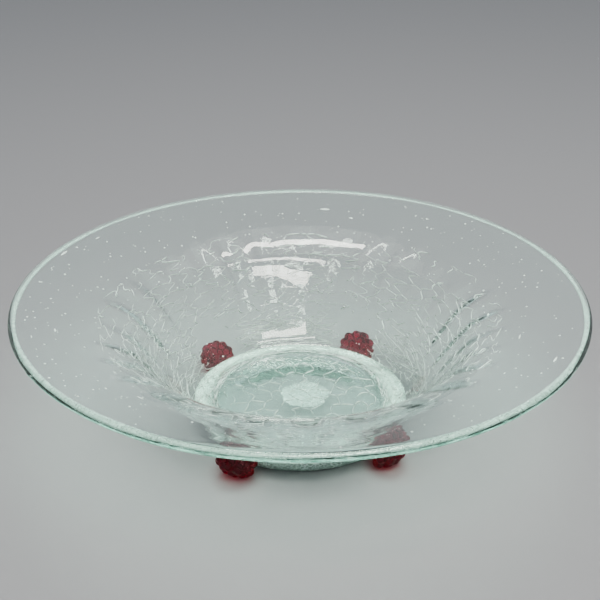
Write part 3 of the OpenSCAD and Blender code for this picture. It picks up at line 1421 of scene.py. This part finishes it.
@dataclass
class RaspberryPrunt:
    """One foot: a dome of soft glass pressed with rings of knobs, stuck on the wall's foot.

    The skin is star-shaped about a point in the dome. Along each direction it reaches as far as
    the union of the knobs and the dome, and stops short of the wall, the pad and the table.
    """

    section: Section
    pad: BasePad
    angle: float
    seed: int
    diameter: float = 25 * MM
    length: float = 13 * MM
    knob: float = 6.4 * MM
    root_radius: float = 75 * MM
    dip: float = 38.0
    pressed: float = 1.0 * MM
    blend: float = 0.16 * MM
    columns: int = 210
    rings: int = 130

    def __post_init__(self) -> None:
        """Works out the knobs and the prunt's own axes."""
        knob_r = self.knob / 2
        ring_r = self.diameter / 2 - knob_r
        ring_h = self.length * 0.48
        dip = math.radians(self.dip)
        root_h = ring_h * math.sin(dip) + ring_r * math.cos(dip) + knob_r - self.pressed
        self.dome_radius = ring_r + knob_r * 0.35
        self.middle_height = self.length - knob_r * 0.35 - self.dome_radius
        rings = (
            (0.0, self.length - knob_r, 1),
            (ring_r * 0.6, self.length - knob_r * 1.28, 6),
            (ring_r, ring_h, 11),
            (ring_r * 0.98, ring_h - knob_r * 1.6, 11),
        )
        rng = np.random.default_rng(self.seed)
        places = np.vstack([
            np.stack([r * np.cos(angles(n)), r * np.sin(angles(n)), np.full(n, h)], -1)
            for r, h, n in rings
        ])
        self.knobs = places + rng.normal(0.0, 0.22 * MM, places.shape)
        self.knob_radii = knob_r * rng.uniform(0.90, 1.04, len(places))
        self.axis = np.array([math.cos(dip), 0.0, -math.sin(dip)])
        self.across = np.array([-math.sin(dip), 0.0, -math.cos(dip)])
        self.root = np.array([self.root_radius, 0.0, root_h])

    def skin(self) -> Skin:
        """Builds the foot's skin at its angle round the bowl.

        Returns:
            The surface.
        """
        polar = np.linspace(0.0, math.pi, self.rings + 2)[1:-1, None]
        turn = angles(self.columns)[None, :]
        way = np.stack(
            [np.sin(polar) * np.cos(turn), np.sin(polar) * np.sin(turn),
             np.cos(polar) * np.ones_like(turn)], axis=-1
        )
        way = np.vstack([way.reshape(-1, 3), [[0.0, 0.0, 1.0], [0.0, 0.0, -1.0]]])
        points = self._stopped(self._placed_ways(way), self._reach(way))
        body, poles = points[:-2].reshape(self.rings, self.columns, 3), points[-2:]
        return Skin.between_poles(body, poles[0], poles[1]).flipped()

    def _reach(self, way: Array) -> Array:
        """How far the union of balls reaches from the middle along each direction.

        A ball at c with radius r is left at b + sqrt(b^2 - c.c + r^2), where b is way.c, and a
        ball that a direction misses counts as nothing. The balls blend by a soft maximum.

        Args:
            way: Unit directions in the prunt's own axes.

        Returns:
            Distances in metres.
        """
        middle = np.array([0.0, 0.0, self.middle_height])
        balls = np.vstack([self.knobs - middle, [[0.0, 0.0, 0.0]]])
        radii = np.append(self.knob_radii, self.dome_radius)
        along = way @ balls.T
        under = along**2 - (balls**2).sum(axis=1) + radii**2
        reach = np.where(under > 0.0, along + np.sqrt(np.maximum(under, 0.0)), 0.0)
        most = reach.max(axis=1)
        return most + self.blend * np.log(np.exp((reach - most[:, None]) / self.blend).sum(axis=1))

    def _placed_ways(self, way: Array) -> Array:
        """Directions turned from the prunt's own axes to the bowl's, before its angle."""
        sideways = np.array([0.0, 1.0, 0.0])
        return way[:, :1] * self.across + way[:, 1:2] * sideways + way[:, 2:] * self.axis

    def _stopped(self, way: Array, reach: Array) -> Array:
        """The skin's points: each direction stops at the wall, at the pad or at the table.

        The first place along a direction that is inside the bowl's outer form is found on a fine
        row of samples, and then halved down to.

        Args:
            way: Unit directions in the bowl's axes.
            reach: How far each would go.

        Returns:
            Places, turned to the foot's angle.
        """
        middle = self.root + self.axis * self.middle_height
        outline = self._outline()
        shares = np.linspace(0.0, 1.0, 60)
        trail = middle + way[:, None] * (reach[:, None] * shares)[..., None]
        buried = self._buried(trail, outline)
        first = np.where(buried.any(axis=1), buried.argmax(axis=1), len(shares))
        low = shares[np.clip(first - 1, 0, len(shares) - 1)]
        high = shares[np.clip(first, 0, len(shares) - 1)]
        for _ in range(9):
            half = (low + high) / 2
            inside = self._buried(middle + way * (reach * half)[:, None], outline)
            high = np.where(inside, half, high)
            low = np.where(inside, low, half)
        share = np.where(first < len(shares), low, 1.0)
        points = middle + way * (reach * share)[:, None]
        c, s = math.cos(self.angle), math.sin(self.angle)
        return points @ np.array([[c, s, 0.0], [-s, c, 0.0], [0.0, 0.0, 1.0]])

    def _outline(self) -> tuple[Array, Array]:
        """The underside of pad and bowl as height over radius, with radii that only rise.

        Returns:
            The radii, and the heights at them.
        """
        arc = np.linspace(self.pad.edge_arc(), 130 * MM, 120)
        wall = self.section.across(arc, np.ones_like(arc))[0]
        edge = self.pad.underside(40)[:40][::-1]
        line = np.vstack([edge, wall])
        return np.maximum.accumulate(line[:, 0]), line[:, 1]

    @staticmethod
    def _buried(points: Array, outline: tuple[Array, Array]) -> Array:
        """Whether places are inside the bowl's outer form or a hair from it, or under the table.

        Args:
            points: The places, x, y and z last.
            outline: The radii and heights of the underside.

        Returns:
            True where they are.
        """
        radius = np.hypot(points[..., 0], points[..., 1])
        form = np.interp(radius, outline[0], outline[1])
        return (points[..., 2] > form - 3 * FUSED_GAP) | (points[..., 2] < 0.0)


# ---------------------------------------------------------------------------------------------
# Studio
# ---------------------------------------------------------------------------------------------


WARM = (1.0, 0.97, 0.90)


@dataclass(frozen=True)
class SoftLamp:
    """A rectangular soft box, aimed at the bowl with its long side level."""

    name: str
    place: tuple[float, float, float]
    size: tuple[float, float]
    power: float
    colour: tuple[float, float, float] = (1.0, 1.0, 1.0)

    def light(self, aim: Vector) -> None:
        """Makes the lamp.

        Args:
            aim: Where it points.
        """
        data = bpy.data.lights.new(self.name, "AREA")
        data.shape = "RECTANGLE"
        data.size, data.size_y = self.size
        data.energy = self.power
        data.color = self.colour
        lamp = bpy.data.objects.new(self.name, data)
        lamp.location = self.place
        lamp.rotation_euler = (aim - Vector(self.place)).to_track_quat("-Z", "Y").to_euler()
        bpy.context.scene.collection.objects.link(lamp)


@dataclass
class Studio:
    """A pale floor, soft lamps and the camera."""

    section: Section
    distance: float = 0.70
    elevation: float = 26.68
    azimuth: float = -7.0
    tilt: float = -0.22
    lens: float = 68.43
    air_colour: tuple[float, float, float] = (0.90, 0.94, 0.97)
    air_strength: float = 0.55
    floor_colour: tuple[float, float, float] = (0.29, 0.29, 0.30)
    floor_half: float = 6.0
    lamps: tuple[SoftLamp, ...] = (
        SoftLamp("ceiling_box", (0.0, 0.30, 1.90), (2.4, 1.4), 6.0),
        SoftLamp("front_box", (0.19, -0.76, 1.10), (0.80, 0.14), 5.0, WARM),
        SoftLamp("middle_box", (0.10, -0.47, 1.10), (0.90, 0.10), 3.6, WARM),
        SoftLamp("rear_box", (0.08, 0.27, 1.10), (0.50, 0.10), 2.6, WARM),
    )

    def build(self) -> None:
        """Sets the floor, the lamps, the air's light and the camera."""
        self._floor()
        for lamp in self.lamps:
            lamp.light(Vector((0.0, 0.0, 0.04)))
        world = bpy.data.worlds.new("studio_air")
        world.use_nodes = True
        tree = Tree(world.node_tree)
        sky = tree.add("ShaderNodeBackground", Color=(*self.air_colour, 1.0),
                       Strength=self.air_strength)
        tree.add("ShaderNodeOutputWorld", Surface=sky.outputs[0])
        scene = bpy.context.scene
        scene.world = world
        scene.view_settings.look = "AgX - High Contrast"
        scene.cycles.max_bounces = 24
        scene.cycles.transmission_bounces = 24
        scene.cycles.transparent_max_bounces = 32
        self._camera()

    def _floor(self) -> None:
        """A wide, plain, light grey floor under the feet."""
        mesh = bpy.data.meshes.new("studio_floor")
        half = self.floor_half
        corners = [(-half, -half, 0.0), (half, -half, 0.0), (half, half, 0.0), (-half, half, 0.0)]
        mesh.from_pydata(corners, [], [(0, 1, 2, 3)])
        material = bpy.data.materials.new("pale_floor")
        material.use_nodes = True
        tree = Tree(material.node_tree)
        matt = tree.add("ShaderNodeBsdfPrincipled", Base_Color=(*self.floor_colour, 1.0),
                        Roughness=0.8)
        tree.add("ShaderNodeOutputMaterial", Surface=matt.outputs[0])
        mesh.materials.append(material)
        floor = bpy.data.objects.new("studio_floor", mesh)
        bpy.context.scene.collection.objects.link(floor)

    def _camera(self) -> None:
        """The camera, turned about the middle of the rim and tipped by a hair."""
        rim = Vector((0.0, 0.0, float(self.section.rim_centre[1])))
        azimuth, elevation = math.radians(self.azimuth), math.radians(self.elevation)
        back = Vector((
            math.sin(azimuth) * math.cos(elevation),
            -math.cos(azimuth) * math.cos(elevation),
            math.sin(elevation),
        ))
        right = Vector((math.cos(azimuth), math.sin(azimuth), 0.0))
        up = back.cross(right)
        tilt = math.radians(self.tilt)
        forward = -back * math.cos(tilt) + up * math.sin(tilt)
        data = bpy.data.cameras.new("camera")
        data.lens = self.lens
        data.sensor_width = 36.0
        data.clip_start, data.clip_end = 0.01, 50.0
        camera = bpy.data.objects.new("camera", data)
        camera.location = rim + back * self.distance
        camera.rotation_euler = forward.to_track_quat("-Z", "Y").to_euler()
        bpy.context.scene.collection.objects.link(camera)
        bpy.context.scene.camera = camera


class Workshop:
    """Builds every piece of the bowl in the order in which it is made."""

    FEET = ("foot_front_left", "foot_front_right", "foot_rear_left", "foot_rear_right")

    def __init__(self) -> None:
        """Reads the vessel's outer sizes from the frame and sets up the shared parts."""
        _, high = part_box("bowl_body")
        pad_low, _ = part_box("base_pad")
        self.section = Section(rim_radius=float(high[0]), top=float(high[2]))
        self.effects = SharedEffects()
        feet = tuple(self.foot_angle(node) for node in self.FEET)
        self.body = BowlBody(self.section, CrackNet(), feet=feet)
        self.pad = BasePad(self.section, clearance=float(pad_low[2]))

    @staticmethod
    def foot_angle(node: str) -> float:
        """The angle round the bowl of a foot's CAD node, from the middle of its box."""
        low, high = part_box(node)
        return math.atan2((low[1] + high[1]) / 2, (low[0] + high[0]) / 2)

    def build(self) -> None:
        """Makes the glass pieces, the cracks and the seeds."""
        aqua = AQUA.build(self.effects)
        cranberry = CRANBERRY.build(self.effects)
        GlassPiece("bowl_glass", Slot.CRACKLE).place(self.body.skin(), aqua, "bowl_body")
        GlassPiece("pad_glass", Slot.PAD).place(
            self.pad.skin(), PAD_GLASS.build(self.effects), "base_pad")
        GlassPiece("punty_mark", Slot.PAD).place(
            PuntyMark(self.pad).skin(), PUNTY_GLASS.build(self.effects), "pontil_scar")
        for number, node in enumerate(self.FEET):
            prunt = RaspberryPrunt(self.section, self.pad, self.foot_angle(node), 60 + number)
            GlassPiece(node + "_prunt", Slot.CRANBERRY).place(prunt.skin(), cranberry, node)
        GlassPiece("trapped_air", Slot.PAD).place(
            TrappedAir(self.pad).skin(), AIR_VEIL.build(self.effects))
        # The lip cord is painted rim glow: a milky mint sheet in place of light carried along the
        # glass.
        GlassPiece("painted_rim_glow_cord", Slot.CRACKLE).place(
            PaintedRimGlowCord(self.body).skin(), PAINTED_RIM_GLOW.build(self.effects))
        GlassPiece("crack_veins", Slot.CRACKLE).place(
            CrackVeins(self.body).skin(), CRACK_SILVER.build())
        GlassPiece("glass_seeds", Slot.CRACKLE).place(
            SeedBubbles(self.body).skin(), SEED_SILVER.build())


def main() -> None:
    """Builds the bowl and the studio."""
    logging.basicConfig(level=logging.INFO, format="%(name)s: %(message)s")
    workshop = Workshop()
    workshop.build()
    Studio(workshop.section).build()


if __name__ == "__main__":
    main()
